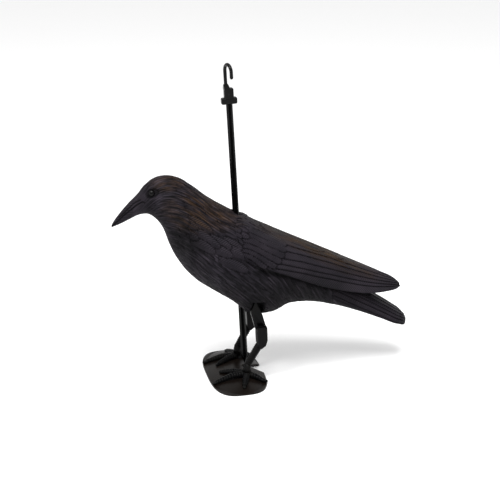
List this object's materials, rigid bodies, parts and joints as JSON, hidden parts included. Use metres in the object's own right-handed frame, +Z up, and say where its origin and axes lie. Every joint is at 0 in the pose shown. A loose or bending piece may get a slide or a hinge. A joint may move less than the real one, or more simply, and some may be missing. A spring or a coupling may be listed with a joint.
{
  "type": "hanging bird decoy",
  "caption": "Hollow moulded crow decoy on a domed foot plate, with a sliding ribbed stake through its body and a swivelling hook to hang it by.",
  "frame": {"origin": "centre of the bounding box's bottom face, on the ground under the bird", "axes": "+Z up; the bird looks along -X; its left side is -Y; the wings and feet mirror across the XZ plane"},
  "size_m": [0.406, 0.139, 0.4297],
  "materials": {
    "shell_plastic": "moulded polyethylene, satin black with a faint brown bloom on crown and back",
    "leg_plastic": "moulded polypropylene, satin blue-black",
    "plate_plastic": "moulded polypropylene, satin brownish black",
    "stake_plastic": "moulded nylon, glossy black",
    "hook_plastic": "moulded nylon, glossy black",
    "eye_plastic": "polished acrylic, very glossy black",
    "screw_steel": "zinc plated",
    "pin_steel": "bright steel"
  },
  "bodies": {
    "decoy": {"base_plate": "plate_plastic", "foot_screws": "screw_steel", "left_leg": "leg_plastic", "right_leg": "leg_plastic", "left_body_shell": "shell_plastic", "right_body_shell": "shell_plastic", "left_eye": "eye_plastic", "right_eye": "eye_plastic"},
    "stake": {"stake": "stake_plastic", "cross_head": "stake_plastic", "retaining_pin": "pin_steel"},
    "hook": {"hanging_hook": "hook_plastic"}
  },
  "joints": [
    {"name": "stake_slide", "type": "slide", "parent": "decoy", "child": "stake", "axis": [-0.0541, 0, 0.9985], "range_m": [-0.135, 0.06]},
    {"name": "hook_swivel", "type": "hinge", "parent": "stake", "child": "hook", "pos_m": [-0.05231, 0, 0.40187], "axis": [-0.0541, 0, 0.9985], "continuous": true}
  ]
}
